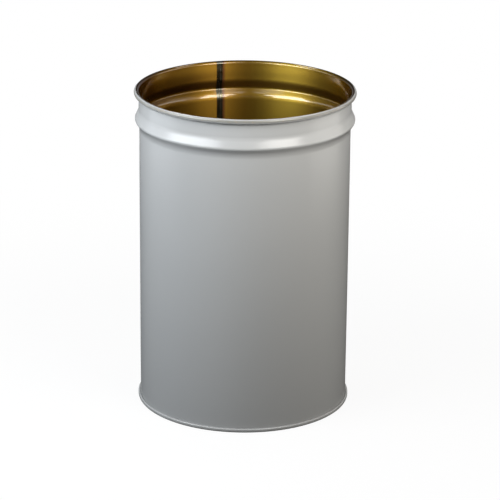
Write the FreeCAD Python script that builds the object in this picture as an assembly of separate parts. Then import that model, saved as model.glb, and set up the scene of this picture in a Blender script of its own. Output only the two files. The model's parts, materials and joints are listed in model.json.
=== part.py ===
# Open-head steel storage drum. One rolled body sheet with a rolled top curl, a swaged bead and a
# welded side seam, closed below by a stamped head that a double seam locks to the body.
# Millimetres, +Z up. The origin is on the floor at the drum's axis, and the side seam faces +Y.
import FreeCAD, Part
import math
import os

# Body sheet
INSIDE_DIAMETER = 463.6
OVERALL_HEIGHT = 718.0
BODY_SHEET = 1.2

# Top curl, rolled outwards over itself until its cut edge nearly meets the neck
CURL_DIAMETER = 11.4
CURL_EDGE_GAP = 0.5

# Swaged bead below the rim: a tight crown between a long slope above and a steeper one below, with
# radii on the middle of the sheet and slopes measured from the upright wall
BEAD_BELOW_RIM = 65.7
BEAD_PROJECTION = 9.6
BEAD_CROWN_RADIUS = 6.0
LOWER_SLOPE_DEGREES = 35.0
LOWER_FLANK_RADIUS = 30.0
UPPER_SLOPE_DEGREES = 25.0
UPPER_FLANK_RADIUS = 27.0
NECK_EXPANSION = 1.4

# Welded side seam: a mashed strip, a little thicker than the sheet along the open wall
WELD_WIDTH = 4.0
WELD_PROUD = 0.25
WELD_RUNOUT = 4.0

# Stamped bottom head
HEAD_SHEET = 1.5
COUNTERSINK_DEPTH = 16.0
COUNTERSINK_RADIUS = 6.0
PANEL_STEP_DIAMETER = 320.0
PANEL_STEP_RISE = 4.0
PANEL_STEP_RADIUS = 8.0

# Double seam: the hooks of head and body pass each other, and compound seals the body hook's edge
HOOK_OVERLAP = 1.0
COMPOUND_HEIGHT = 0.6
LAYER_GAP = 0.4
SEAM_CORNER_INSIDE = 1.2

OUTWARD = 0.0
UPWARD = math.radians(90)
DOWNWARD = math.radians(-90)
QUARTER_TURN = math.radians(90)
HALF_TURN = math.radians(180)
FULL_TURN = math.radians(360)
SEAM_SIDE_ANGLE = 90.0
AXIS_POINT = FreeCAD.Vector(0, 0, 0)
AXIS = FreeCAD.Vector(0, 0, 1)

# Radii of the sheets' middles, from the chuck wall outwards through the layers of the seam
wall_inside = INSIDE_DIAMETER / 2
wall_middle = wall_inside + BODY_SHEET / 2
wall_outside = wall_inside + BODY_SHEET
chuck_wall = wall_inside - LAYER_GAP - HEAD_SHEET / 2
head_hook = wall_outside + LAYER_GAP + HEAD_SHEET / 2
body_hook = head_hook + HEAD_SHEET / 2 + LAYER_GAP + BODY_SHEET / 2
seaming_wall = body_hook + BODY_SHEET / 2 + LAYER_GAP + HEAD_SHEET / 2

# Both hooks turn about the other sheet with a gap on each side of it
hook_bend = (BODY_SHEET + HEAD_SHEET) / 2 + LAYER_GAP
seam_corner = SEAM_CORNER_INSIDE + HEAD_SHEET / 2
body_bend_height = HEAD_SHEET + LAYER_GAP + BODY_SHEET / 2 + hook_bend
body_hook_edge = body_bend_height + HOOK_OVERLAP
head_bend_height = body_hook_edge + COMPOUND_HEIGHT

# The bead's slopes take up what its bends leave of the projection
bead_height = OVERALL_HEIGHT - BEAD_BELOW_RIM
lower_turn = math.radians(LOWER_SLOPE_DEGREES)
upper_turn = math.radians(UPPER_SLOPE_DEGREES)
lower_bends = BEAD_CROWN_RADIUS + LOWER_FLANK_RADIUS
upper_bends = BEAD_CROWN_RADIUS + UPPER_FLANK_RADIUS
lower_left_over = BEAD_PROJECTION - lower_bends * (1 - math.cos(lower_turn))
upper_left_over = BEAD_PROJECTION - NECK_EXPANSION - upper_bends * (1 - math.cos(upper_turn))
lower_slope = lower_left_over / math.sin(lower_turn)
upper_slope = upper_left_over / math.sin(upper_turn)
bead_start = bead_height - lower_bends * math.sin(lower_turn) - lower_slope * math.cos(lower_turn)
bead_end = bead_height + upper_bends * math.sin(upper_turn) + upper_slope * math.cos(upper_turn)

# The curl turns on until its cut edge nearly meets the neck
curl_middle = (CURL_DIAMETER - BODY_SHEET) / 2
curl_height = OVERALL_HEIGHT - CURL_DIAMETER / 2
curl_outer = CURL_DIAMETER / 2
curl_edge_reach = curl_middle - BODY_SHEET / 2 - CURL_EDGE_GAP
curl_turn = FULL_TURN - math.acos(curl_edge_reach / curl_outer)

weld_angle = math.degrees(WELD_WIDTH / wall_middle)


class SheetSection:
    """Middle line of a bent sheet, drawn as straight runs and tangent bends in (radius, height)."""

    def __init__(self, radius, height, heading):
        self.at = (radius, height)
        self.heading = heading
        self.runs = []

    def straight(self, length):
        radius, height = self.at
        end = (radius + length * math.cos(self.heading), height + length * math.sin(self.heading))
        self.runs.append(("straight", self.at, end, self.heading))
        self.at = end

    def bend(self, radius, turn):
        """Turn left for a positive angle and right for a negative one."""
        side = math.copysign(1, turn)
        centre = shifted(self.at, self.heading, side * radius)
        self.runs.append(("bend", centre, side * radius, self.heading, turn))
        self.heading += turn
        self.at = shifted(centre, self.heading, -side * radius)

    def edges(self, offset):
        """The line at a distance to the left of the middle, as exact lines and arcs."""
        made = []
        for run in self.runs:
            if run[0] == "straight":
                _, start, end, heading = run
                ends = [space(shifted(point, heading, offset)) for point in (start, end)]
                made.append(Part.LineSegment(*ends).toShape())
            else:
                _, centre, signed_radius, heading, turn = run
                headings = (heading, heading + turn / 2, heading + turn)
                points = [space(shifted(centre, h, offset - signed_radius)) for h in headings]
                made.append(Part.Arc(*points).toShape())
        return made

    def face(self, thickness):
        left = self.edges(thickness / 2)
        right = self.edges(-thickness / 2)
        caps = []
        for index, which in ((-1, "lastVertex"), (0, "firstVertex")):
            corners = [getattr(side[index], which)(True).Point for side in (left, right)]
            caps.append(Part.LineSegment(*corners).toShape())
        far_cap, near_cap = caps
        return Part.Face(Part.Wire(left + [far_cap] + right[::-1] + [near_cap]))


def shifted(point, heading, left):
    """A point moved to the left of a heading."""
    return (point[0] - left * math.sin(heading), point[1] + left * math.cos(heading))


def space(point):
    return FreeCAD.Vector(point[0], 0, point[1])


def turned(face, start_angle, sweep):
    """A section turned about the drum's axis, in degrees from +X."""
    solid = face.revolve(AXIS_POINT, AXIS, sweep)
    solid.rotate(AXIS_POINT, AXIS, start_angle)
    return solid


def add_bead(section):
    """The bead's slopes and crown, from the wall's radius out and back to the neck's."""
    section.bend(LOWER_FLANK_RADIUS, -lower_turn)
    section.straight(lower_slope)
    section.bend(BEAD_CROWN_RADIUS, lower_turn + upper_turn)
    section.straight(upper_slope)
    section.bend(UPPER_FLANK_RADIUS, -upper_turn)


def body_section():
    """The body sheet from its hook in the seam, up the wall and round the top curl."""
    section = SheetSection(body_hook, body_hook_edge, DOWNWARD)
    section.straight(HOOK_OVERLAP)
    section.bend(hook_bend, -HALF_TURN)
    section.straight(bead_start - body_bend_height)
    add_bead(section)
    section.straight(curl_height - bead_end)
    section.bend(curl_middle, -curl_turn)
    return section.face(BODY_SHEET)


def weld_crown_section():
    """The part of the side seam that stands proud, clear of the head below and the curl above."""
    foot = COUNTERSINK_DEPTH + HEAD_SHEET + WELD_RUNOUT
    top = OVERALL_HEIGHT - CURL_DIAMETER - WELD_RUNOUT
    section = SheetSection(wall_middle, foot, UPWARD)
    section.straight(bead_start - foot)
    add_bead(section)
    section.straight(top - bead_end)
    return section.face(BODY_SHEET + 2 * WELD_PROUD)


def head_section():
    """The head from its stepped panel, down the chuck wall and round the outside of the seam."""
    step_turn = math.acos(1 - PANEL_STEP_RISE / (2 * PANEL_STEP_RADIUS))
    step_run = PANEL_STEP_RADIUS * math.sin(step_turn)
    step_middle = PANEL_STEP_DIAMETER / 2
    panel_edge = chuck_wall - COUNTERSINK_RADIUS
    section = SheetSection(0, COUNTERSINK_DEPTH + PANEL_STEP_RISE + HEAD_SHEET / 2, OUTWARD)
    section.straight(step_middle - step_run)
    section.bend(PANEL_STEP_RADIUS, -step_turn)
    section.bend(PANEL_STEP_RADIUS, step_turn)
    section.straight(panel_edge - step_middle - step_run)
    section.bend(COUNTERSINK_RADIUS, -QUARTER_TURN)
    section.straight(COUNTERSINK_DEPTH - COUNTERSINK_RADIUS - seam_corner)
    section.bend(seam_corner, QUARTER_TURN)
    section.straight(seaming_wall - chuck_wall - 2 * seam_corner)
    section.bend(seam_corner, QUARTER_TURN)
    section.straight(head_bend_height - HEAD_SHEET / 2 - seam_corner)
    section.bend(hook_bend, HALF_TURN)
    section.straight(COMPOUND_HEIGHT + HOOK_OVERLAP)
    return section.face(HEAD_SHEET)


def compound_section():
    """The ring of sealing compound on the body hook's edge, between the two walls of the head's hook."""
    section = SheetSection(body_hook, body_hook_edge, UPWARD)
    section.straight(COMPOUND_HEIGHT)
    return section.face(BODY_SHEET + 2 * LAYER_GAP)


def body_shell():
    return turned(body_section(), SEAM_SIDE_ANGLE + weld_angle / 2, 360 - weld_angle)


def side_seam_weld():
    start = SEAM_SIDE_ANGLE - weld_angle / 2
    through = turned(body_section(), start, weld_angle)
    crown = turned(weld_crown_section(), start, weld_angle)
    return through.fuse(crown).removeSplitter().Solids[0]


def bottom_head():
    return turned(head_section(), 0, 360)


def seam_compound():
    return turned(compound_section(), 0, 360)


def main():
    os.makedirs("parts", exist_ok=True)
    for make in (body_shell, side_seam_weld, bottom_head, seam_compound):
        solid = make()
        name = make.__name__
        solid.exportStep(os.path.join("parts", name + ".step"))
        box = solid.BoundBox
        print(name, solid.ShapeType, solid.isValid(), len(solid.Solids), round(solid.Volume, 1),
              [round(v, 3) for v in (box.XMin, box.XMax, box.YMin, box.YMax, box.ZMin, box.ZMax)])


main()
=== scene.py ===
import bpy
import json
import math
import numpy as np
from mathutils import Matrix, Vector

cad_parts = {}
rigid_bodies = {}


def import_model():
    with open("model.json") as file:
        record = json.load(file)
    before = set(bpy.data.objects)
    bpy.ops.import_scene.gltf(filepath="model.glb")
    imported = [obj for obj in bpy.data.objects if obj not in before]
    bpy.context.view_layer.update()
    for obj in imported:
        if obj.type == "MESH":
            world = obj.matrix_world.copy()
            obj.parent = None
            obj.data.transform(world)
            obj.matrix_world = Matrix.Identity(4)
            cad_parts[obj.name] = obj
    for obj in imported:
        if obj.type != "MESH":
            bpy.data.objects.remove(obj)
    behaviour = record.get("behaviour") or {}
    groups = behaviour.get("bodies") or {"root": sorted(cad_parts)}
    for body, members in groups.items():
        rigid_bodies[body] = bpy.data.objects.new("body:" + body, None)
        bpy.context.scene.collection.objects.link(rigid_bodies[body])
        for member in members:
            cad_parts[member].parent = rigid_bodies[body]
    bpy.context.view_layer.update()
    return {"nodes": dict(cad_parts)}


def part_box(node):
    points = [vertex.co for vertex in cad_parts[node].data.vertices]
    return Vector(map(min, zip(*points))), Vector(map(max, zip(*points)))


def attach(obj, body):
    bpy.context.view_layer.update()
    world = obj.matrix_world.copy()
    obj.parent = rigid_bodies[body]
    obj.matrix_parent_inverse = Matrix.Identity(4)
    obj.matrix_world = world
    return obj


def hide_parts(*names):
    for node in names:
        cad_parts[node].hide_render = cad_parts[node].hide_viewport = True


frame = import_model()
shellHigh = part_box("body_shell")[1]
print("frame loaded:", ", ".join(sorted(frame["nodes"])))

# Metres. The axis is Z, the floor is z = 0 and the weld is on +Y, as in the frame.
drum = dict(
    bodySheet=0.0012, headSheet=0.0015,
    curl=0.0114, curlGap=0.0005,
    beadDrop=0.0657, beadOut=0.0096, crownBend=0.0060, neckOut=0.0014,
    lowerFlank=0.0300, lowerTurn=math.radians(35), upperFlank=0.0270, upperTurn=math.radians(25),
    layerGap=0.0004, hookOverlap=0.0010, compound=0.0006, cornerInside=0.0012,
    countersink=0.0160, countersinkBend=0.0060, stepAcross=0.3200, stepRise=0.0040, stepBend=0.0080,
    weldWidth=0.0040, weldSide=math.radians(90),
)

tenthOfMillimetre = 4   # decimal places of a metre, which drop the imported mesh's own rounding
rimRadius = round(shellHigh.x, tenthOfMillimetre)
rimTop = round(shellHigh.z, tenthOfMillimetre)
wallInside = rimRadius - drum["curl"] - drum["neckOut"]
wallMiddle = wallInside + drum["bodySheet"] / 2
chuckWall = wallInside - drum["layerGap"] - drum["headSheet"] / 2
headHook = wallInside + drum["bodySheet"] + drum["layerGap"] + drum["headSheet"] / 2
hookBend = (drum["headSheet"] + drum["bodySheet"]) / 2 + drum["layerGap"]
bodyHook = headHook + hookBend
seamWall = bodyHook + hookBend
cornerBend = drum["cornerInside"] + drum["headSheet"] / 2
bodyBendTop = drum["headSheet"] + drum["layerGap"] + drum["bodySheet"] / 2 + hookBend
headBendTop = bodyBendTop + drum["hookOverlap"] + drum["compound"]


# Straight part of one side of the bead, and that side's height, for its projection, flank and slope.
def beadSide(projection, flank, turn):
    bends = drum["crownBend"] + flank
    straight = (projection - bends * (1 - math.cos(turn))) / math.sin(turn)
    return straight, straight * math.cos(turn) + bends * math.sin(turn)


lowerRun, lowerHeight = beadSide(drum["beadOut"], drum["lowerFlank"], drum["lowerTurn"])
upperRun, upperHeight = beadSide(drum["beadOut"] - drum["neckOut"], drum["upperFlank"], drum["upperTurn"])
beadFoot = rimTop - drum["beadDrop"] - lowerHeight
beadTop = rimTop - drum["beadDrop"] + upperHeight
curlBend = (drum["curl"] - drum["bodySheet"]) / 2
curlFoot = rimTop - drum["curl"] / 2
curlTurn = math.tau - math.acos((curlBend - drum["bodySheet"] / 2 - drum["curlGap"]) * 2 / drum["curl"])
stepTurn = math.acos(1 - drum["stepRise"] / (2 * drum["stepBend"]))
stepHalf = drum["stepBend"] * math.sin(stepTurn)
weldHalfTurn = drum["weldWidth"] / wallMiddle / 2


# Unit vector to the left of a heading, in the (radius, height) plane.
def leftOf(heading):
    return np.stack([-np.sin(heading), np.cos(heading)], axis=-1)


# Middle line of a bent sheet in (radius, height). Each run is (size, turn): with no turn it goes on
# straight for that length, otherwise it swings about a hub that far to the side, left for a positive turn.
# Gives the points, the heading at each and the length run so far.
def sheetLine(start, heading, runs, straightStep, bendStep):
    points = [np.array([start])]
    headings = [np.array([heading])]
    for size, turn in runs:
        steps = math.ceil(abs(turn) / bendStep) if turn else math.ceil(size / straightStep)
        part = np.linspace(0, 1, steps + 1)[1:]
        last = points[-1][-1]
        if turn:
            side = math.copysign(size, turn)
            headings.append(heading + part * turn)
            points.append(last + side * leftOf(heading) - side * leftOf(headings[-1]))
            heading += turn
        else:
            headings.append(np.full(steps, heading))
            points.append(last + part[:, None] * size * np.array([math.cos(heading), math.sin(heading)]))
    points = np.concatenate(points)
    headings = np.concatenate(headings)
    run = np.concatenate([[0], np.cumsum(np.linalg.norm(np.diff(points, axis=0), axis=1))])
    return points, headings, run


downward = 1.5 * math.pi   # headings in the (radius, height) plane
outward = 0.0
neckParts = 8              # rows for the neck's shallow waist

# The body sheet from its hook in the bottom seam, up the wall, over the bead and round the top curl.
bodyRuns = [
    (drum["hookOverlap"], 0), (hookBend, -math.pi), (beadFoot - bodyBendTop, 0),
    (drum["lowerFlank"], -drum["lowerTurn"]), (lowerRun, 0),
    (drum["crownBend"], drum["lowerTurn"] + drum["upperTurn"]),
    (upperRun, 0), (drum["upperFlank"], -drum["upperTurn"]),
    *[((curlFoot - beadTop) / neckParts, 0)] * neckParts, (curlBend, -curlTurn),
]
bodyStart = (bodyHook, bodyBendTop + drum["hookOverlap"])
hookRun = drum["hookOverlap"] + hookBend * math.pi   # sheet that the hook takes, before the wall

# The bottom head's panel from its middle, over the step and to the foot of the countersink's bend.
panelRuns = [
    (drum["stepAcross"] / 2 - stepHalf, 0), (drum["stepBend"], -stepTurn), (drum["stepBend"], stepTurn),
    (chuckWall - drum["countersinkBend"] - drum["stepAcross"] / 2 - stepHalf, 0),
    (drum["countersinkBend"], -math.pi / 2),
]

# From there down the chuck wall and round the outside of the seam.
seamRuns = [
    (drum["countersink"] - drum["countersinkBend"] - cornerBend, 0),
    (cornerBend, math.pi / 2), (seamWall - chuckWall - 2 * cornerBend, 0), (cornerBend, math.pi / 2),
    (headBendTop - drum["headSheet"] / 2 - cornerBend, 0),
    (hookBend, math.pi), (drum["compound"] + drum["hookOverlap"], 0),
]
headStart = (0.0, drum["countersink"] + drum["stepRise"] + drum["headSheet"] / 2)

roll = dict(
    oval=0.00022, ovalPhase=0.6, wave=0.00006,
    waves=((5, 9, 1.0, 0.0), (9, -13, 0.7, 1.1)),   # (count round, radians per metre up, share, phase)
    weldDip=0.00022, weldReach=0.020, waist=0.0004, fadeLow=(0.03, 0.14), fadeHigh=(0.52, 0.62),
)


# Rises smoothly from 0 to 1 between two values.
def ease(low, high, value):
    part = np.clip((value - low) / (high - low), 0, 1)
    return part * part * (3 - 2 * part)


# How far the rolled sheet strays from its line: a slight oval, a few long waves and a shallow dip along
# the weld, all dying away towards the stiff bead and the bottom seam, and a shallow waist in the neck,
# which is the square of a sine from the bead to the curl.
def wander(theta, height):
    free = ease(*roll["fadeLow"], height) * (1 - ease(*roll["fadeHigh"], height))
    across = np.angle(np.exp(1j * (theta - drum["weldSide"]))) * wallMiddle
    waves = sum(share * np.sin(count * theta + climb * height + phase)
                for count, climb, share, phase in roll["waves"])
    dip = np.exp(-(across / roll["weldReach"]) ** 2)
    upNeck = np.clip((height - beadTop) / (curlFoot - beadTop), 0, 1)
    oval = roll["oval"] * np.cos(2 * theta + roll["ovalPhase"])
    strays = oval + roll["wave"] * waves - roll["weldDip"] * dip
    return free * strays - roll["waist"] * np.sin(math.pi * upNeck) ** 2


# One face of a sheet: the middle line moved sideways by lift, then turned about the axis to each theta, so
# x = r cos(theta) and y = r sin(theta), with r and z from the line. Its normals point away from the sheet's
# middle and lean with the wander's slope.
def sheetFace(points, headings, lift, theta):
    nudge = 1e-5         # step for the wander's slope
    leastRadius = 1e-3   # keeps that slope finite at the axis
    lift = np.asarray(lift)[..., None]
    side = leftOf(headings)
    moved = points + side * lift
    radius, height = moved[..., 0], moved[..., 1]
    stray = wander(theta, height)
    strayAround = wander(theta + nudge, height) - wander(theta - nudge, height)
    strayUp = wander(theta, height + nudge) - wander(theta, height - nudge)
    slopeAround = strayAround / (2 * nudge * np.maximum(radius, leastRadius))
    slopeUp = strayUp / (2 * nudge)
    out = np.stack(np.broadcast_arrays(np.cos(theta), np.sin(theta), 0.0), axis=-1)
    along = np.stack(np.broadcast_arrays(-np.sin(theta), np.cos(theta), 0.0), axis=-1)
    up = np.array([0.0, 0.0, 1.0])
    place = out * (radius + stray)[..., None] + up * (height + 0 * theta)[..., None]
    facing = np.sign(lift) * side
    lean = facing[..., :1] * (out - along * slopeAround[..., None] - up * slopeUp[..., None])
    normal = lean + up * (facing[..., 1:] + 0 * theta[..., None])
    return place, normal / np.linalg.norm(normal, axis=-1, keepdims=True)


# Corner numbers of the quads of a grid of rows and columns, joined round where the columns meet.
def gridQuads(first, rows, columns, wraps):
    columnStarts = np.arange(columns if wraps else columns - 1)
    row, column = np.meshgrid(np.arange(rows - 1), columnStarts, indexing="ij")
    beside = (column + 1) % columns
    low, high = row * columns, (row + 1) * columns
    corners = [low + column, low + beside, high + beside, high + column]
    return first + np.stack(corners, axis=-1).reshape(-1, 4)


# A mesh object from sets of (faces, corner normals or None for flat, outward hint, material number).
# A face whose turn disagrees with its outward hint is turned over.
def pieceFrom(name, points, faceSets, materials):
    leastLength = 1e-15   # keeps a face with no area from dividing by nothing
    loops, sizes, normals, slots = [], [], [], []
    for faces, cornerNormals, hint, slot in faceSets:
        corners = points[faces]
        flat = np.cross(corners[:, 2] - corners[:, 0], corners[:, -1] - corners[:, 1])
        flat /= np.maximum(np.linalg.norm(flat, axis=1, keepdims=True), leastLength)
        wrong = np.einsum("ij,ij->i", flat, hint) < 0
        if cornerNormals is None:
            flat[wrong] *= -1
            cornerNormals = np.repeat(flat[:, None, :], faces.shape[1], axis=1)
        faces = np.where(wrong[:, None], faces[:, ::-1], faces)
        cornerNormals = np.where(wrong[:, None, None], cornerNormals[:, ::-1], cornerNormals)
        loops.append(faces.ravel())
        sizes.append(np.full(len(faces), faces.shape[1]))
        normals.append(cornerNormals.reshape(-1, 3))
        slots.append(np.broadcast_to(slot, len(faces)))
    loops, sizes, normals, slots = map(np.concatenate, (loops, sizes, normals, slots))
    mesh = bpy.data.meshes.new(name)
    mesh.vertices.add(len(points))
    mesh.vertices.foreach_set("co", points.astype(np.float32).ravel())
    mesh.loops.add(len(loops))
    mesh.loops.foreach_set("vertex_index", loops.astype(np.int32))
    mesh.polygons.add(len(sizes))
    mesh.polygons.foreach_set("loop_start", (np.cumsum(sizes) - sizes).astype(np.int32))
    for material in materials:
        mesh.materials.append(material)
    mesh.polygons.foreach_set("material_index", slots.astype(np.int32))
    mesh.polygons.foreach_set("use_smooth", np.ones(len(sizes), bool))
    mesh.update(calc_edges=True)
    mesh.validate()
    mesh.normals_split_custom_set(normals.tolist())
    made = bpy.data.objects.new(name, mesh)
    bpy.context.scene.collection.objects.link(made)
    return made


# A closed sheet from its left and right faces, two grids of one size: the faces, a strip over each cut edge
# and, where the columns don't meet, a strip down each side. A sheet that starts on the axis has its middle
# closed by a fan of triangles on each face instead of a first cut edge. The left face may have a material
# number for each quad, and all the rest has number 0.
def closedSheet(name, left, right, wraps, materials, leftSlots=0, middles=()):
    rows, columns = left[0].shape[:2]
    count = rows * columns
    points = np.concatenate([left[0].reshape(-1, 3), right[0].reshape(-1, 3)])
    faceSets = []
    for first, face, slot in ((0, left, leftSlots), (count, right, 0)):
        quads = gridQuads(first, rows, columns, wraps)
        cornerNormals = face[1].reshape(-1, 3)[quads - first]
        faceSets.append((quads, cornerNormals, cornerNormals.mean(axis=1), slot))
    column = np.arange(columns if wraps else columns - 1)
    beside = (column + 1) % columns
    firstEdge = () if middles else ((0, 1),)
    for row, inner in (*firstEdge, (rows - 1, rows - 2)):
        edge, edgeBeside = row * columns + column, row * columns + beside
        strip = np.stack([edge, edgeBeside, count + edgeBeside, count + edge], axis=-1)
        faceSets.append((strip, None, (left[0][row] - left[0][inner])[column], 0))
    row = np.arange(rows - 1)
    for end, inner in () if wraps else ((0, 1), (columns - 1, columns - 2)):
        edge, edgeAbove = row * columns + end, (row + 1) * columns + end
        strip = np.stack([edge, edgeAbove, count + edgeAbove, count + edge], axis=-1)
        faceSets.append((strip, None, (left[0][:, end] - left[0][:, inner])[row], 0))
    for ring, middle, up in zip((0, count), middles, (1.0, -1.0)):
        hub = len(points)
        points = np.concatenate([points, [middle]])
        fan = np.stack([ring + column, ring + beside, np.full(len(column), hub)], axis=-1)
        faceSets.append((fan, None, np.broadcast_to((0.0, 0.0, up), (len(fan), 3)), 0))
    return pieceFrom(name, points, faceSets, materials)


# Small helpers for shader nodes. A value that is a socket is linked, and any other is set.
def addNode(tree, kind, values=None, **settings):
    made = tree.nodes.new(kind)
    for key, value in settings.items():
        setattr(made, key, value)
    for key, value in (values or {}).items():
        if isinstance(value, bpy.types.NodeSocket):
            tree.links.new(value, made.inputs[key])
        else:
            made.inputs[key].default_value = value
    return made


def maths(tree, operation, first, second=0.0, clamp=False):
    values = {0: first, 1: second}
    return addNode(tree, "ShaderNodeMath", values, operation=operation, use_clamp=clamp).outputs[0]


def product(tree, first, *others):
    for other in others:
        first = maths(tree, "MULTIPLY", first, other)
    return first


def rampBetween(tree, value, low, high, start=0.0, end=1.0):
    values = {"Value": value, "From Min": low, "From Max": high, "To Min": start, "To Max": end}
    return addNode(tree, "ShaderNodeMapRange", values, interpolation_type="SMOOTHSTEP").outputs["Result"]


def mixColour(tree, share, first, second, blend="MIX"):
    values = {0: share, 6: first, 7: second}   # the factor and the two colours
    return addNode(tree, "ShaderNodeMix", values, data_type="RGBA", blend_type=blend).outputs[2]


def noise(tree, place, scale, detail):
    values = {"Vector": place, "Scale": scale, "Detail": detail}
    return addNode(tree, "ShaderNodeTexNoise", values).outputs["Fac"]


def bumpFrom(tree, height, distance, strength):
    values = {"Height": height, "Distance": distance, "Strength": strength}
    return addNode(tree, "ShaderNodeBump", values).outputs["Normal"]


def newGroup(name, takes, gives):
    tree = bpy.data.node_groups.new(name, "ShaderNodeTree")
    for socketName, kind in takes:
        tree.interface.new_socket(socketName, in_out="INPUT", socket_type=kind)
    for socketName in gives:
        tree.interface.new_socket(socketName, in_out="OUTPUT", socket_type="NodeSocketFloat")
    return tree, tree.nodes.new("NodeGroupInput").outputs, tree.nodes.new("NodeGroupOutput").inputs


def placeGroup(tree, group, values):
    return addNode(tree, "ShaderNodeGroup", values, node_tree=group).outputs


def newMaterial(name):
    made = bpy.data.materials.new(name)
    made.use_nodes = True
    tree = made.node_tree
    place = addNode(tree, "ShaderNodeTexCoord").outputs["Object"]
    return made, tree, tree.nodes["Principled BSDF"], place


grainSpan = (0.3, 0.7)   # where most of a noise's values lie
spray = dict(peelDetail=1.0, cloudDetail=3.0, runDetail=2.0, runStretch=(1.0, 1.0, 0.04))


# Sprayed coat: fine orange peel, a soft cloudiness and long runs down the wall.
def coatGrainGroup():
    takes = [("Place", "NodeSocketVector"), ("Peel Scale", "NodeSocketFloat"),
             ("Cloud Scale", "NodeSocketFloat"), ("Run Scale", "NodeSocketFloat")]
    tree, given, gives = newGroup("coatGrain", takes, ["Peel", "Cloud", "Runs"])
    place = given["Place"]
    stretch = {0: place, 1: spray["runStretch"]}
    drawn = addNode(tree, "ShaderNodeVectorMath", stretch, operation="MULTIPLY").outputs[0]
    tree.links.new(noise(tree, place, given["Peel Scale"], spray["peelDetail"]), gives["Peel"])
    tree.links.new(noise(tree, place, given["Cloud Scale"], spray["cloudDetail"]), gives["Cloud"])
    tree.links.new(noise(tree, drawn, given["Run Scale"], spray["runDetail"]), gives["Runs"])
    return tree


rubbing = dict(detail=4.0, showsFrom=(0.95, 1.1))


# Rubbed edges: a broken mask that keeps to where it is let in.
def edgeRubGroup():
    takes = [("Place", "NodeSocketVector"), ("Where", "NodeSocketFloat"),
             ("Scale", "NodeSocketFloat"), ("Cover", "NodeSocketFloat")]
    tree, given, gives = newGroup("edgeRub", takes, ["Rub"])
    broken = noise(tree, given["Place"], given["Scale"], rubbing["detail"])
    mask = rampBetween(tree, maths(tree, "ADD", broken, given["Cover"]), *rubbing["showsFrom"])
    tree.links.new(maths(tree, "MULTIPLY", mask, given["Where"], clamp=True), gives["Rub"])
    return tree


coatGrain = coatGrainGroup()
edgeRub = edgeRubGroup()

enamel = dict(
    colour=(0.415, 0.420, 0.417, 1), cloudColour=(0.425, 0.428, 0.423, 1), cloudScale=9.0,
    gloss=(0.245, 0.255), peelScale=620.0, peelHeight=0.00002, peelStrength=0.5,
    curlTone=(0.245, 0.239, 0.216, 1), curlToneFrom=(0.0011, 0.0030), curlToneTo=(0.0085, 0.0060),
    curlDeep=0.9, curlOuter=0.7,   # shares of the curl's width that the darker tone keeps to
    primer=(0.36, 0.275, 0.20, 1), rimBand=0.0040, chimeBand=0.0085,
    rubScale=160.0, rubCover=0.40, rubShare=0.5,
    # Painted shade darkens the chime's foot, where the seam's lower curve is shaded
    footShade=(0.20, 0.20, 0.193, 1), footShadeFrom=(0.0042, 0.0012),
    rimGloss=0.11, rimGlossFrom=(0.0060, 0.0030),
)


# Rises between two depths below the rim.
def rampBelowRim(tree, height, depths):
    return rampBetween(tree, height, *(rimTop - depth for depth in depths))


def greyEnamel():
    made, tree, shader, place = newMaterial("greyEnamel")
    grain = placeGroup(tree, coatGrain, {"Place": place, "Peel Scale": enamel["peelScale"],
                                         "Cloud Scale": enamel["cloudScale"]})
    split = addNode(tree, "ShaderNodeSeparateXYZ", {0: place}).outputs
    height = split["Z"]
    level = addNode(tree, "ShaderNodeCombineXYZ", {0: split["X"], 1: split["Y"]}).outputs[0]
    fromAxis = addNode(tree, "ShaderNodeVectorMath", {0: level}, operation="LENGTH").outputs["Value"]
    colour = mixColour(tree, grain["Cloud"], enamel["colour"], enamel["cloudColour"])

    # A darker tan-grey tone on the curl's outer face
    onCurl = maths(tree, "GREATER_THAN", height, rimTop - enamel["curlDeep"] * drum["curl"])
    outside = maths(tree, "GREATER_THAN", fromAxis, rimRadius - enamel["curlOuter"] * drum["curl"])
    curlToned = product(tree, onCurl, outside, rampBelowRim(tree, height, enamel["curlToneFrom"]),
                   rampBelowRim(tree, height, enamel["curlToneTo"]))
    colour = mixColour(tree, curlToned, colour, enamel["curlTone"])

    # Primer where the rim, the curl's darker face and the chime are rubbed, and painted shade at the
    # chime's foot
    nearRim = rampBetween(tree, height, rimTop - enamel["rimBand"], rimTop)
    nearFloor = rampBetween(tree, height, enamel["chimeBand"], 0.0)
    worn = maths(tree, "MAXIMUM", maths(tree, "MAXIMUM", nearRim, nearFloor), curlToned)
    rub = placeGroup(tree, edgeRub, {"Place": place, "Where": worn, "Scale": enamel["rubScale"],
                                     "Cover": enamel["rubCover"]})["Rub"]
    colour = mixColour(tree, product(tree, rub, enamel["rubShare"]), colour, enamel["primer"])
    colour = mixColour(tree, rampBetween(tree, height, *enamel["footShadeFrom"]), colour, enamel["footShade"])

    rough = rampBetween(tree, grain["Cloud"], *grainSpan, *enamel["gloss"])
    polished = rampBelowRim(tree, height, enamel["rimGlossFrom"])
    rough = addNode(tree, "ShaderNodeMix", {0: polished, 2: rough, 3: enamel["rimGloss"]}).outputs[0]
    peel = bumpFrom(tree, grain["Peel"], enamel["peelHeight"], enamel["peelStrength"])
    tree.links.new(colour, shader.inputs["Base Color"])
    tree.links.new(rough, shader.inputs["Roughness"])
    tree.links.new(peel, shader.inputs["Normal"])
    return made


clearCoat = dict(rough=0.11, index=1.65)


# Bare metal under a clear coat.
def coatMetal(shader, weight):
    shader.inputs["Metallic"].default_value = 1.0
    shader.inputs["Coat Weight"].default_value = weight
    shader.inputs["Coat Roughness"].default_value = clearCoat["rough"]
    shader.inputs["Coat IOR"].default_value = clearCoat["index"]


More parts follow.
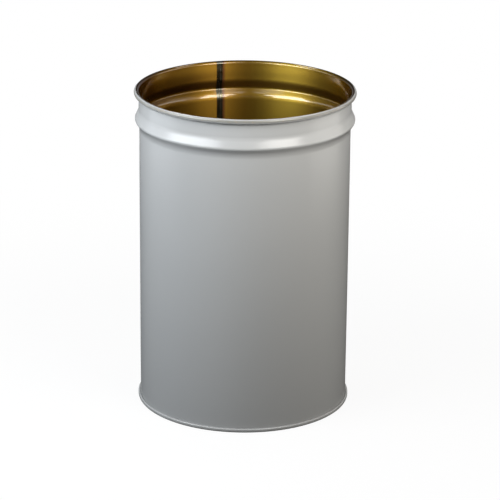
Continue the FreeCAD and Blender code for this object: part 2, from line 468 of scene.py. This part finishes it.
lacquer = dict(
    colour=(0.36, 0.240, 0.031, 1), gloss=(0.43, 0.445), cloudScale=7.0, runScale=90.0,
    # Painted shade: the inside darker to the left, with a patchy edge
    leftShadeColour=(0.30, 0.163, 0.020, 1), leftShadeFrom=(0.16, 0.03), patchShare=0.5, patchReach=0.08,
    # Painted shade: darker low in the drum
    lowShadeColour=(0.26, 0.150, 0.020, 1), lowShadeFrom=(0.60, 0.38),
    # Painted shade on the bead's upper slope, standing for its dark reflection
    slopeShade=(0.68, 0.60, 0.68, 1), slopeLow=(0.653, 0.658), slopeHigh=(0.678, 0.668),
    # Painted shade at both sides of the inside
    sideShade=(0.70, 0.66, 0.68, 1), leftSide=(-0.03, -0.14), rightSide=(0.15, 0.205),
    shade=(0.58, 0.53, 0.58, 1), shadeBelow=(0.708, 0.676), shadeLeft=(0.03, -0.08),
    scorch=(0.14, 0.054, 0.019, 1), scorchMiddle=0.0016, scorchReach=(0.0045, 0.0130),
    weldShare=0.97,   # share of the wall's radius past which the scorch shows, on the weld's side
    slant=(0.25, 0.15, 0.08, 1), drawn=0.66, drawnTurn=0.25, coat=1.0,
)


def goldLacquer():
    made, tree, shader, place = newMaterial("goldLacquer")
    grain = placeGroup(tree, coatGrain, {"Place": place, "Cloud Scale": lacquer["cloudScale"],
                                         "Run Scale": lacquer["runScale"]})
    split = addNode(tree, "ShaderNodeSeparateXYZ", {0: place}).outputs
    across, height = split["X"], split["Z"]

    # Painted shade: darker to the left with a patchy edge, and darker low in the drum
    patchy = maths(tree, "ADD", product(tree, grain["Cloud"], lacquer["patchShare"]),
                   product(tree, grain["Runs"], 1 - lacquer["patchShare"]))
    uneven = product(tree, maths(tree, "SUBTRACT", patchy, sum(grainSpan) / 2), lacquer["patchReach"])
    leftShadeMask = rampBetween(tree, maths(tree, "ADD", across, uneven), *lacquer["leftShadeFrom"])
    colour = mixColour(tree, leftShadeMask, lacquer["colour"], lacquer["leftShadeColour"])
    # Painted shade low in the drum
    colour = mixColour(tree, rampBetween(tree, height, *lacquer["lowShadeFrom"]), colour, lacquer["lowShadeColour"])

    # Painted shade: darker just above the bead, standing for its dark reflection, at both sides and low on
    # the left of the neck
    aboveBead = rampBetween(tree, height, *lacquer["slopeLow"])
    slope = product(tree, aboveBead, rampBetween(tree, height, *lacquer["slopeHigh"]))
    colour = mixColour(tree, slope, colour, lacquer["slopeShade"], "MULTIPLY")
    sides = maths(tree, "ADD", rampBetween(tree, across, *lacquer["leftSide"]),
                  rampBetween(tree, across, *lacquer["rightSide"]))
    colour = mixColour(tree, sides, colour, lacquer["sideShade"], "MULTIPLY")
    shaded = product(tree, rampBetween(tree, height, *lacquer["shadeBelow"]),
                     rampBetween(tree, across, *lacquer["shadeLeft"]), aboveBead)
    colour = mixColour(tree, shaded, colour, lacquer["shade"], "MULTIPLY")

    # Scorched beside the weld
    fromWeld = maths(tree, "ABSOLUTE", maths(tree, "SUBTRACT", across, lacquer["scorchMiddle"]))
    onWeldSide = maths(tree, "GREATER_THAN", split["Y"], wallInside * lacquer["weldShare"])
    scorched = product(tree, rampBetween(tree, fromWeld, *reversed(lacquer["scorchReach"])), onWeldSide)
    colour = mixColour(tree, scorched, colour, lacquer["scorch"])

    rough = rampBetween(tree, grain["Cloud"], *grainSpan, *lacquer["gloss"])
    tree.links.new(colour, shader.inputs["Base Color"])
    tree.links.new(rough, shader.inputs["Roughness"])
    shader.inputs["Specular Tint"].default_value = lacquer["slant"]
    shader.inputs["Anisotropic"].default_value = lacquer["drawn"]
    shader.inputs["Anisotropic Rotation"].default_value = lacquer["drawnTurn"]
    coatMetal(shader, lacquer["coat"])
    return made


bareSteel = dict(
    colour=(0.108, 0.091, 0.046, 1), gloss=(0.27, 0.34), coat=0.4,
    blue=(0.102, 0.098, 0.072, 1), blueFrom=(0.40, 0.68), tintScale=90.0, tintDetail=2.0,
    weldLine=(0.17, 0.168, 0.145, 1), lineHalf=(0.0003, 0.0014), lineShare=0.8,
)


def scorchedSteel():
    made, tree, shader, place = newMaterial("scorchedSteel")
    split = addNode(tree, "ShaderNodeSeparateXYZ", {0: place}).outputs
    tint = noise(tree, place, bareSteel["tintScale"], bareSteel["tintDetail"])
    blued = rampBetween(tree, tint, *bareSteel["blueFrom"])
    colour = mixColour(tree, blued, bareSteel["colour"], bareSteel["blue"])
    line = rampBetween(tree, maths(tree, "ABSOLUTE", split["X"]), *reversed(bareSteel["lineHalf"]))
    colour = mixColour(tree, product(tree, line, bareSteel["lineShare"]), colour, bareSteel["weldLine"])
    tree.links.new(colour, shader.inputs["Base Color"])
    tree.links.new(rampBetween(tree, tint, *grainSpan, *bareSteel["gloss"]), shader.inputs["Roughness"])
    coatMetal(shader, bareSteel["coat"])
    return made


sealant = dict(
    colour=(0.10, 0.085, 0.06, 1), pale=(0.15, 0.13, 0.10, 1), gloss=(0.55, 0.75),
    poreScale=900.0, poreDetail=2.0, poreDepth=0.0001, poreStrength=0.4,
)


def seamRubber():
    made, tree, shader, place = newMaterial("seamRubber")
    pores = noise(tree, place, sealant["poreScale"], sealant["poreDetail"])
    colour = mixColour(tree, pores, sealant["colour"], sealant["pale"])
    tree.links.new(colour, shader.inputs["Base Color"])
    tree.links.new(rampBetween(tree, pores, *grainSpan, *sealant["gloss"]), shader.inputs["Roughness"])
    pitted = bumpFrom(tree, pores, sealant["poreDepth"], sealant["poreStrength"])
    tree.links.new(pitted, shader.inputs["Normal"])
    return made


greyPaint = greyEnamel()
goldCoat = goldLacquer()
darkSteel = scorchedSteel()
rubber = seamRubber()
print("materials made")

body = dict(
    columns=320, straightStep=0.024, bendStep=math.radians(6),
    paintFrom=math.radians(-4),   # heading just past the top of the curl, where the paint outside starts
)


def bodyLine(straightStep, bendStep):
    return sheetLine(bodyStart, downward, bodyRuns, straightStep, bendStep)


# Material number of each quad of the body's left face: bare steel, number 1, inside the drum, and paint,
# number 0, in the hook and past the top of the curl, where that face shows outside.
def bareInside(headings, run, columns):
    inside = (run[:-1] > hookRun) & (headings[:-1] >= body["paintFrom"])
    return np.repeat(np.where(inside, 1, 0), columns)


# The body: both faces of its sheet, turned from one side of the weld round to the other.
def bodyPiece():
    points, headings, run = bodyLine(body["straightStep"], body["bendStep"])
    first = drum["weldSide"] + weldHalfTurn
    theta = np.linspace(first, first + math.tau - 2 * weldHalfTurn, body["columns"] + 1)[None]
    half = drum["bodySheet"] / 2
    left, right = (sheetFace(points[:, None], headings[:, None], lift, theta) for lift in (half, -half))
    leftSlots = bareInside(headings, run, body["columns"])
    made = closedSheet("bodyShell", left, right, False, [greyPaint, darkSteel], leftSlots)
    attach(made, "root")
    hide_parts("body_shell")
    return made


bodyShell = bodyPiece()
print("body:", len(bodyShell.data.polygons), "faces")

weld = dict(
    proud=0.00025, runout=0.004, ripple=0.00003, pitch=0.0024, bow=0.25,
    rowStep=0.0004, bendStep=math.radians(3), columns=7,
)


# The mashed weld: both faces of the strip stand proud by (1 - w squared) across its width w from -1 to 1,
# with a sine ripple along its run that bows by w squared, and both fade out before the bottom head and the
# curl. Their normals are square to the grid.
def weldPiece():
    points, headings, run = bodyLine(weld["rowStep"], weld["bendStep"])
    across = np.linspace(-1, 1, weld["columns"])[None]
    theta = drum["weldSide"] + weldHalfTurn * across
    height = points[:, 1:]
    low = drum["countersink"] + drum["headSheet"] + weld["runout"]
    high = rimTop - drum["curl"] - weld["runout"]
    fadeIn = ease(low - weld["runout"], low + weld["runout"], height)
    free = fadeIn * (1 - ease(high - weld["runout"], high, height))
    ripple = weld["ripple"] * np.sin(math.tau * (run[:, None] / weld["pitch"] - weld["bow"] * across ** 2))
    lift = drum["bodySheet"] / 2 + free * (1 - across ** 2) * (weld["proud"] - weld["ripple"] + ripple)
    faces = []
    for side in (1, -1):
        place, facing = sheetFace(points[:, None], headings[:, None], side * lift, theta)
        normal = np.cross(np.gradient(place, axis=0), np.gradient(place, axis=1))
        normal *= np.sign(np.sum(normal * facing, axis=-1, keepdims=True))
        faces.append((place, normal / np.linalg.norm(normal, axis=-1, keepdims=True)))
    leftSlots = bareInside(headings, run, weld["columns"] - 1)
    made = closedSheet("sideSeamWeld", *faces, False, [greyPaint, darkSteel], leftSlots)
    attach(made, "root")
    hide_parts("side_seam_weld")
    return made


sideSeamWeld = weldPiece()
print("weld:", len(sideSeamWeld.data.polygons), "faces")

head = dict(columns=256, straightStep=0.020, bendStep=math.radians(12))


# Two faces of the head over these runs, each moved sideways by its lift and turned right round, and the
# points that close their middles. The runs' first row, on the axis itself, is left out.
def headFaces(runs, lifts):
    points, headings = sheetLine(headStart, outward, runs, head["straightStep"], head["bendStep"])[:2]
    theta = np.linspace(0, math.tau, head["columns"], endpoint=False)[None]
    faces = [sheetFace(points[1:, None], headings[1:, None], lift, theta) for lift in lifts]
    return *faces, [(0, 0, headStart[1] + lift) for lift in lifts]


# The stamped bottom: both faces of its sheet.
def headPiece():
    half = drum["headSheet"] / 2
    left, right, middles = headFaces(panelRuns + seamRuns, (half, -half))
    made = closedSheet("bottomHead", left, right, True, [greyPaint], middles=middles)
    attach(made, "root")
    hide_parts("bottom_head")
    return made


bottomHead = headPiece()
print("bottom head:", len(bottomHead.data.polygons), "faces")

lining = dict(
    film=0.00006, sunk=0.00003, foot=0.0120, leftMargin=0.0080, rightMargin=0.0055,
    pastCrown=math.radians(15), ragged=math.radians(4),
    waves=((7, 0.5, 0.4), (17, 0.3, 2.0), (41, 0.2, 0.0)),   # (count round, share, phase)
    columns=320, curlRows=13, fineStep=0.0005, fineBend=math.radians(0.5),
    footClear=0.001, curlClear=0.0001,   # least gaps between the wall's rows and those at its ends
)


# Film on the inside of the body: the body's inner face from the foot to a wavy edge just past the curl's
# crown, and from one side of the bare weld stripe round to the other. The edge is a sum of sines.
def bodyLiningPiece():
    linePoints, lineHeadings, lineRun = bodyLine(lining["fineStep"], lining["fineBend"])
    wallRun = bodyLine(body["straightStep"], body["bendStep"])[2]
    footRun = hookRun + lining["foot"] - bodyBendTop
    curlRun = lineRun[-1] - curlBend * curlTurn
    crownRun = curlRun + curlBend * math.pi / 2
    wallRun = wallRun[(wallRun > footRun + lining["footClear"]) & (wallRun < curlRun - lining["curlClear"])]
    start = drum["weldSide"] + lining["leftMargin"] / wallInside
    end = drum["weldSide"] + math.tau - lining["rightMargin"] / wallInside
    theta = np.linspace(start, end, lining["columns"] + 1)[None]
    wavy = sum(share * np.sin(count * theta + phase) for count, share, phase in lining["waves"])
    edgeRun = crownRun + curlBend * (lining["pastCrown"] + lining["ragged"] * wavy)
    upWall = np.concatenate([[footRun], wallRun])[:, None] + 0 * theta
    upCurl = np.linspace(0, 1, lining["curlRows"])[:, None]
    run = np.concatenate([upWall, curlRun + upCurl * (edgeRun - curlRun)])
    points = np.stack([np.interp(run, lineRun, values) for values in linePoints.T], axis=-1)
    headings = np.interp(run, lineRun, lineHeadings)
    half = drum["bodySheet"] / 2
    top = sheetFace(points, headings, half + lining["film"], theta)
    base = sheetFace(points, headings, half - lining["sunk"], theta)
    made = closedSheet("bodyLining", top, (base[0], -base[1]), False, [goldCoat])
    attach(made, "root")
    return made


# Film on the top of the bottom head: its upper face from the middle to the foot of the countersink's bend.
def headLiningPiece():
    half = drum["headSheet"] / 2
    top, base, middles = headFaces(panelRuns, (half + lining["film"], half - lining["sunk"]))
    made = closedSheet("headLining", top, (base[0], -base[1]), True, [goldCoat], middles=middles)
    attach(made, "root")
    return made


bodyLining = bodyLiningPiece()
headLining = headLiningPiece()
print("lining:", len(bodyLining.data.polygons) + len(headLining.data.polygons), "faces")

compound = frame["nodes"]["seam_compound"]
compound.data.materials.clear()
compound.data.materials.append(rubber)

# Metres and degrees, with the lens and sensor in millimetres
shot = dict(
    away=5.446, up=2.2465, pitch=19.265, yaw=0.1400, roll=0.4900, lens=185.2, sensor=36.0,
    weldTurn=14.25,   # the weld stands this far left of straight back
)


# A point or direction of the photograph's own frame (right, away from the camera, up) in the drum's frame.
def fromShot(right, away, up):
    turn = math.radians(shot["weldTurn"])
    x = right * math.cos(turn) + away * math.sin(turn)
    y = away * math.cos(turn) - right * math.sin(turn)
    return Vector((x, y, up))


# Direction out from the drum in degrees, with the azimuth from the camera's side round to the right.
def wayTo(azimuth, elevation=0):
    turn, rise = math.radians(azimuth), math.radians(elevation)
    return fromShot(math.sin(turn) * math.cos(rise), -math.cos(turn) * math.cos(rise), math.sin(rise))


def makeCamera():
    pitch, yaw, tilt = (math.radians(shot[key]) for key in ("pitch", "yaw", "roll"))
    forward = fromShot(math.sin(yaw) * math.cos(pitch), math.cos(yaw) * math.cos(pitch), -math.sin(pitch))
    level = forward.cross(Vector((0, 0, 1))).normalized()
    upright = level.cross(forward)
    right = level * math.cos(tilt) + upright * math.sin(tilt)
    up = upright * math.cos(tilt) - level * math.sin(tilt)
    turned = Matrix((right, up, -forward)).transposed().to_4x4()
    data = bpy.data.cameras.new("camera")
    data.lens = shot["lens"]
    data.sensor_width = shot["sensor"]
    camera = bpy.data.objects.new("camera", data)
    camera.matrix_world = Matrix.Translation(fromShot(0, -shot["away"], shot["up"])) @ turned
    bpy.context.scene.collection.objects.link(camera)
    bpy.context.scene.camera = camera


makeCamera()
print("camera set")

studio = dict(
    floorRings=(0.05, 0.5, 1.5, 4.0), floorReach=10.0, sweep=1.0, sweepRows=13, columns=96,
    wallHeight=3.0, riseSpan=(0.35, 0.80),
    wallRise=((110, 5.2), (-100, 1.8)),   # (azimuth, height added towards it)
    floorColour=0.86, shadowShare=0.10, shadowReach=(0.30, 1.6), bounce=0.06,
    mirrorShare=1.0, mirrorReach=(1.5, 4.0), fadeFrom=(2.5, 8.0), fadeTo=0.5,
    behindFrom=(0.5, 3.0), behindTo=0.3, world=(0.03, 0.03, 0.03, 1),
)


# Floor and backdrop in one turned sheet: flat to its reach, a quarter circle up and a plain wall, which
# stands higher towards some sides. Its rings face up and inwards, and the small fan that closes them under
# the drum faces down.
def makeStage():
    rings, reach, sweep = studio["floorRings"], studio["floorReach"], studio["sweep"]
    bend = np.linspace(0, math.pi / 2, studio["sweepRows"])
    radius = np.concatenate([rings, reach + sweep * np.sin(bend), [reach + sweep]])
    height = np.concatenate([np.zeros(len(rings)), sweep * (1 - np.cos(bend)), [studio["wallHeight"]]])
    theta = np.linspace(0, math.tau, studio["columns"], endpoint=False)
    grid = np.stack([np.outer(radius, np.cos(theta)), np.outer(radius, np.sin(theta)),
                     np.outer(height, np.ones_like(theta))], axis=-1)
    for azimuth, rise in studio["wallRise"]:
        way = wayTo(azimuth)
        towards = np.cos(theta) * way.x + np.sin(theta) * way.y
        grid[-1, :, 2] += rise * ease(*studio["riseSpan"], towards)
    rows, columns = grid.shape[:2]
    points = np.concatenate([grid.reshape(-1, 3), [[0, 0, 0]]])
    quads = gridQuads(0, rows, columns, True)
    spokes = np.arange(columns)
    fan = np.stack([spokes, (spokes + 1) % columns, np.full(columns, len(points) - 1)], axis=-1)
    mesh = bpy.data.meshes.new("floor")
    mesh.from_pydata(points.tolist(), [], quads.tolist() + fan.tolist())
    mesh.flip_normals()
    mesh.polygons.foreach_set("use_smooth", np.ones(len(mesh.polygons), bool))
    mesh.update()
    floor = bpy.data.objects.new("floor", mesh)
    bpy.context.scene.collection.objects.link(floor)
    return floor


def grey(level):
    return (level, level, level, 1)


# White to the camera, with the drum's shadow kept close to it. Reflections see it dull near the drum and
# white further out, fading upwards and behind the drum. It throws little light back, and is clear on the
# back of its faces.
def floorMaterial():
    made = bpy.data.materials.new("paleFloor")
    made.use_nodes = True
    tree = made.node_tree
    tree.nodes.clear()
    ray = addNode(tree, "ShaderNodeLightPath").outputs
    place = addNode(tree, "ShaderNodeTexCoord").outputs["Object"]
    fromAxis = addNode(tree, "ShaderNodeVectorMath", {0: place}, operation="LENGTH").outputs["Value"]
    height = addNode(tree, "ShaderNodeSeparateXYZ", {0: place}).outputs["Z"]
    awayFrom = {0: place, 1: fromShot(0, 1, 0)}
    behind = addNode(tree, "ShaderNodeVectorMath", awayFrom, operation="DOT_PRODUCT").outputs["Value"]
    shown = rampBetween(tree, fromAxis, *reversed(studio["shadowReach"]), 0.0, studio["shadowShare"])
    mirrored = rampBetween(tree, fromAxis, *reversed(studio["mirrorReach"]), 0.0, studio["mirrorShare"])
    fading = product(tree, rampBetween(tree, height, *studio["fadeFrom"], 1.0, studio["fadeTo"]),
                     rampBetween(tree, behind, *studio["behindFrom"], 1.0, studio["behindTo"]))
    glossy = product(tree, ray["Is Glossy Ray"], maths(tree, "SUBTRACT", 1.0, mirrored), fading)
    direct = maths(tree, "ADD", ray["Is Camera Ray"], ray["Is Transmission Ray"])
    seen = maths(tree, "ADD", direct, glossy, clamp=True)
    white = addNode(tree, "ShaderNodeEmission", {"Color": grey(1), "Strength": 1.0})
    pale = addNode(tree, "ShaderNodeBsdfDiffuse", {"Color": grey(studio["floorColour"])})
    dull = addNode(tree, "ShaderNodeBsdfDiffuse", {"Color": grey(studio["bounce"])})
    clear = addNode(tree, "ShaderNodeBsdfTransparent")
    shadowed = addNode(tree, "ShaderNodeMixShader", {0: shown, 1: white.outputs[0], 2: pale.outputs[0]})
    lit = addNode(tree, "ShaderNodeMixShader", {0: seen, 1: dull.outputs[0], 2: shadowed.outputs[0]})
    below = addNode(tree, "ShaderNodeNewGeometry").outputs["Backfacing"]
    either = addNode(tree, "ShaderNodeMixShader", {0: below, 1: lit.outputs[0], 2: clear.outputs[0]})
    output = addNode(tree, "ShaderNodeOutputMaterial")
    tree.links.new(either.outputs[0], output.inputs["Surface"])
    return made


cool = (0.95, 1.0, 1.055)
warm = (1.03, 1.0, 0.95)
plain = (1.0, 1.0, 1.0)
softBoxes = dict(
    leftLow=dict(azimuth=-57.5, elevation=15.5, away=1.4, size=(1.17, 0.38), radiance=9.1, colour=cool),
    leftHigh=dict(azimuth=-51.5, elevation=28.6, away=1.4, size=(1.18, 0.27), radiance=9.1, colour=cool),
    rightLow=dict(azimuth=38.5, elevation=16.5, away=1.2, size=(0.69, 0.32), radiance=9.0, colour=warm),
    rightHigh=dict(azimuth=33.0, elevation=29.8, away=1.2, size=(0.70, 0.22), radiance=9.0, colour=warm),
    frontLeft=dict(azimuth=-36, elevation=50, away=1.6, size=(0.80, 0.50), radiance=1.55, colour=plain),
    frontRight=dict(azimuth=24, elevation=50, away=1.6, size=(0.80, 0.50), radiance=1.75, colour=plain),
    leftSide=dict(azimuth=-96, elevation=0, away=2.0, size=(1.60, 1.40), radiance=1.2, colour=cool),
    rightSide=dict(azimuth=94, elevation=0, away=2.0, size=(1.60, 1.40), radiance=1.65, colour=warm),
    leftBack=dict(azimuth=-130, elevation=56, away=2.0, size=(0.80, 0.40), radiance=7.0, colour=plain),
    rightBack=dict(azimuth=130, elevation=56, away=2.0, size=(0.60, 0.40), radiance=5.0, colour=plain),
    back=dict(azimuth=180, elevation=-9.4, away=2.2, size=(3.2, 0.70), radiance=4.8, colour=plain,
              mirrored=False),
)


# Soft boxes aimed at the rim's middle, and a dim world. A box's energy is its radiance times pi times its
# area.
def makeLight():
    aim = Vector((0, 0, rimTop))
    for name, lamp in softBoxes.items():
        width, depth = lamp["size"]
        data = bpy.data.lights.new(name + "Box", "AREA")
        data.shape = "RECTANGLE"
        data.size, data.size_y = width, depth
        data.color = lamp["colour"]
        data.energy = lamp["radiance"] * math.pi * width * depth
        way = wayTo(lamp["azimuth"], lamp["elevation"])
        box = bpy.data.objects.new(name + "Box", data)
        box.location = aim + way * lamp["away"]
        box.rotation_euler = (-way).to_track_quat("-Z", "Y").to_euler()
        box.visible_camera = False
        box.visible_glossy = lamp.get("mirrored", True)
        bpy.context.scene.collection.objects.link(box)
    world = bpy.data.worlds.new("studio")
    world.use_nodes = True
    world.node_tree.nodes["Background"].inputs["Color"].default_value = studio["world"]
    bpy.context.scene.world = world


makeStage().data.materials.append(floorMaterial())
makeLight()
bpy.context.scene.view_settings.view_transform = "Standard"
print("stage and light set")
